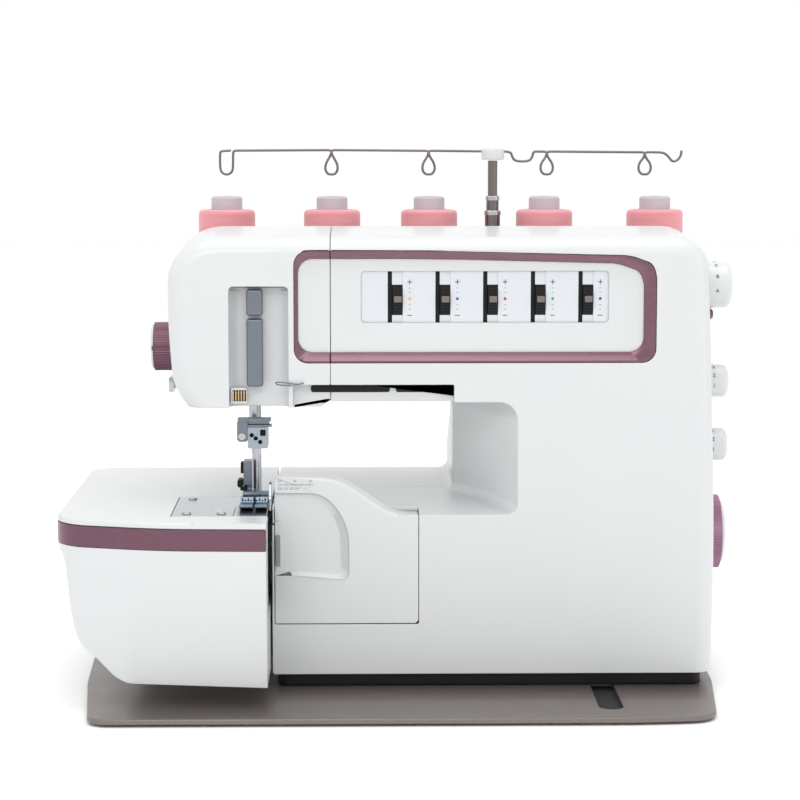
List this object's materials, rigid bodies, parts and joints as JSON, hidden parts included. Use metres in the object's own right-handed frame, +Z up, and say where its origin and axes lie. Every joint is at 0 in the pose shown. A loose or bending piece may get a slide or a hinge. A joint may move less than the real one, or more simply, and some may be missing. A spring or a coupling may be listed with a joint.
{
  "type": "serger overlock machine",
  "caption": "Free-arm serger with removable accessory box, looper cover, row of thread tension wheels, side dials, handwheel and a rear stand holding thread spools under a wire guide.",
  "frame": {"origin": "middle of the rubber mat's underside, where the machine rests on the table", "axes": "+X towards the handwheel, +Y towards the rear and the thread stand, +Z up"},
  "size_m": [0.4346, 0.289, 0.351],
  "materials": {
    "white_plastic": "cool white, smooth and glossy",
    "mauve_metal": "satin metallic mauve",
    "bronze_metal": "satin metallic bronze",
    "black_plastic": "matt black",
    "rubber": "matt, slightly textured",
    "bright_steel": "polished",
    "grey_steel": "brushed blue-grey",
    "cast_metal": "sand-cast, matt",
    "pink_thread": "wound polyester thread"
  },
  "bodies": {
    "chassis": {"front_casing": "white_plastic", "head_cover": "white_plastic", "rear_casing": "white_plastic", "foot_mat": "rubber", "base_tray": "bronze_metal", "base_pan": "black_plastic", "machine_frame": "cast_metal", "drive_motor": "black_plastic", "drive_belt": "rubber", "power_inlet": "black_plastic", "bed_arm": "cast_metal", "needle_plate": "bright_steel", "cover_hinge_pin": "bright_steel", "trim_frame_left": "mauve_metal", "trim_frame_right": "mauve_metal", "tension_panel": "white_plastic", "take_up_guard_upper": "bright_steel", "take_up_guard_lower": "bright_steel", "lower_knife": "grey_steel", "spool_stand": "white_plastic", "pole_lower_tube": "bright_steel"},
    "handwheel": {"main_shaft": "grey_steel", "handwheel_rim": "mauve_metal", "handwheel_cap": "white_plastic"},
    "motor_rotor": {"motor_pulley": "grey_steel"},
    "rocker": {"rocker_shaft": "grey_steel"},
    "needle_carrier": {"needle_bar": "bright_steel", "needle_clamp": "grey_steel", "needle_left": "bright_steel", "needle_right": "bright_steel"},
    "knife": {"upper_knife": "grey_steel"},
    "looper_low": {"lower_looper": "bright_steel"},
    "looper_high": {"upper_looper": "bright_steel"},
    "feed": {"feed_dog": "grey_steel"},
    "presser": {"presser_bar": "bright_steel", "foot_holder": "grey_steel", "presser_foot": "bright_steel"},
    "lifter": {"presser_lifter": "white_plastic"},
    "cover": {"looper_cover": "white_plastic"},
    "extension": {"extension_table": "white_plastic", "extension_trim": "mauve_metal"},
    "tension_1": {"tension_dial_1": "black_plastic"},
    "tension_2": {"tension_dial_2": "black_plastic"},
    "tension_3": {"tension_dial_3": "black_plastic"},
    "tension_4": {"tension_dial_4": "black_plastic"},
    "tension_5": {"tension_dial_5": "black_plastic"},
    "pressure": {"pressure_knob": "mauve_metal", "pressure_knob_cap": "white_plastic"},
    "stitch_select": {"stitch_dial": "white_plastic"},
    "differential": {"differential_dial": "white_plastic"},
    "stitch_length": {"stitch_length_dial": "white_plastic"},
    "spool_1": {"thread_spool_1": "pink_thread"},
    "spool_2": {"thread_spool_2": "pink_thread"},
    "spool_3": {"thread_spool_3": "pink_thread"},
    "spool_4": {"thread_spool_4": "pink_thread"},
    "spool_5": {"thread_spool_5": "pink_thread"},
    "pole_middle": {"pole_middle_tube": "bright_steel"},
    "pole_upper": {"pole_upper_tube": "bright_steel"},
    "thread_guide": {"thread_guide_cap": "white_plastic", "thread_guide_wire": "bright_steel"}
  },
  "joints": [
    {"name": "handwheel_turn", "type": "hinge", "parent": "chassis", "child": "handwheel", "pos_m": [0.205, -0.01, 0.097], "axis": [1, 0, 0], "continuous": true},
    {"name": "motor_turn", "type": "hinge", "parent": "chassis", "child": "motor_rotor", "pos_m": [0.165, 0.06, 0.06], "axis": [1, 0, 0], "continuous": true},
    {"name": "rocker_swing", "type": "hinge", "parent": "chassis", "child": "rocker", "pos_m": [0, -0.004, 0.24], "axis": [1, 0, 0], "range_deg": [0, 40]},
    {"name": "needle_stroke", "type": "slide", "parent": "chassis", "child": "needle_carrier", "axis": [0, 0, 1], "range_m": [-0.026, 0]},
    {"name": "knife_stroke", "type": "slide", "parent": "chassis", "child": "knife", "axis": [0, 0, 1], "range_m": [-0.008, 0]},
    {"name": "lower_looper_swing", "type": "hinge", "parent": "chassis", "child": "looper_low", "pos_m": [-0.045, -0.04, 0.066], "axis": [0, 1, 0], "range_deg": [0, 14]},
    {"name": "upper_looper_swing", "type": "hinge", "parent": "chassis", "child": "looper_high", "pos_m": [-0.02, -0.04, 0.078], "axis": [0, 1, 0], "range_deg": [-10, 0]},
    {"name": "feed_stroke", "type": "slide", "parent": "chassis", "child": "feed", "axis": [0, 1, 0], "range_m": [-0.0025, 0.0025]},
    {"name": "presser_lift", "type": "slide", "parent": "chassis", "child": "presser", "axis": [0, 0, 1], "range_m": [0, 0.0065]},
    {"name": "lifter_turn", "type": "hinge", "parent": "chassis", "child": "lifter", "pos_m": [-0.151, -0.005, 0.196], "axis": [1, 0, 0], "range_deg": [0, 30]},
    {"name": "cover_open", "type": "hinge", "parent": "chassis", "child": "cover", "pos_m": [-0.035, -0.066, 0.049], "axis": [1, 0, 0], "range_deg": [0, 80]},
    {"name": "extension_slide", "type": "slide", "parent": "chassis", "child": "extension", "axis": [-1, 0, 0], "range_m": [0, 0.09]},
    {"name": "tension_1_turn", "type": "hinge", "parent": "chassis", "child": "tension_1", "pos_m": [-0.0022, -0.0476, 0.256], "axis": [1, 0, 0], "range_deg": [-150, 150]},
    {"name": "tension_2_turn", "type": "hinge", "parent": "chassis", "child": "tension_2", "pos_m": [0.0283, -0.0476, 0.256], "axis": [1, 0, 0], "range_deg": [-150, 150]},
    {"name": "tension_3_turn", "type": "hinge", "parent": "chassis", "child": "tension_3", "pos_m": [0.0588, -0.0476, 0.256], "axis": [1, 0, 0], "range_deg": [-150, 150]},
    {"name": "tension_4_turn", "type": "hinge", "parent": "chassis", "child": "tension_4", "pos_m": [0.0893, -0.0476, 0.256], "axis": [1, 0, 0], "range_deg": [-150, 150]},
    {"name": "tension_5_turn", "type": "hinge", "parent": "chassis", "child": "tension_5", "pos_m": [0.1198, -0.0476, 0.256], "axis": [1, 0, 0], "range_deg": [-150, 150]},
    {"name": "pressure_turn", "type": "hinge", "parent": "chassis", "child": "pressure", "pos_m": [-0.155, -0.02, 0.2227], "axis": [1, 0, 0], "range_deg": [-150, 150]},
    {"name": "stitch_select_turn", "type": "hinge", "parent": "chassis", "child": "stitch_select", "pos_m": [0.208, -0.02, 0.2626], "axis": [1, 0, 0], "range_deg": [-150, 150]},
    {"name": "differential_turn", "type": "hinge", "parent": "chassis", "child": "differential", "pos_m": [0.21, -0.02, 0.1992], "axis": [1, 0, 0], "range_deg": [-135, 135]},
    {"name": "stitch_length_turn", "type": "hinge", "parent": "chassis", "child": "stitch_length", "pos_m": [0.21, -0.02, 0.157], "axis": [1, 0, 0], "range_deg": [-135, 135]},
    {"name": "spool_1_turn", "type": "hinge", "parent": "chassis", "child": "spool_1", "pos_m": [-0.1181, 0.075, 0.28], "axis": [0, 0, 1], "continuous": true},
    {"name": "spool_2_turn", "type": "hinge", "parent": "chassis", "child": "spool_2", "pos_m": [-0.0453, 0.075, 0.28], "axis": [0, 0, 1], "continuous": true},
    {"name": "spool_3_turn", "type": "hinge", "parent": "chassis", "child": "spool_3", "pos_m": [0.022, 0.075, 0.28], "axis": [0, 0, 1], "continuous": true},
    {"name": "spool_4_turn", "type": "hinge", "parent": "chassis", "child": "spool_4", "pos_m": [0.1019, 0.075, 0.28], "axis": [0, 0, 1], "continuous": true},
    {"name": "spool_5_turn", "type": "hinge", "parent": "chassis", "child": "spool_5", "pos_m": [0.1788, 0.075, 0.28], "axis": [0, 0, 1], "continuous": true},
    {"name": "pole_middle_slide", "type": "slide", "parent": "chassis", "child": "pole_middle", "axis": [0, 0, 1], "range_m": [0, 0.1]},
    {"name": "pole_upper_slide", "type": "slide", "parent": "pole_middle", "child": "pole_upper", "axis": [0, 0, 1], "range_m": [0, 0.1]},
    {"name": "thread_guide_turn", "type": "hinge", "parent": "pole_upper", "child": "thread_guide", "pos_m": [0.066, 0.075, 0.347], "axis": [0, 0, 1], "range_deg": [-90, 90]}
  ],
  "couplings": [
    {"joint": "motor_turn", "follows": "handwheel_turn", "ratio": 2.8889},
    {"joint": "needle_stroke", "follows": "rocker_swing", "m_per_rad": -0.0372},
    {"joint": "knife_stroke", "follows": "rocker_swing", "m_per_rad": -0.0114},
    {"joint": "lower_looper_swing", "follows": "rocker_swing", "ratio": 0.35},
    {"joint": "upper_looper_swing", "follows": "rocker_swing", "ratio": -0.25},
    {"joint": "feed_stroke", "follows": "rocker_swing", "m_per_rad": 0.0035},
    {"joint": "presser_lift", "follows": "lifter_turn", "m_per_rad": 0.0105}
  ]
}
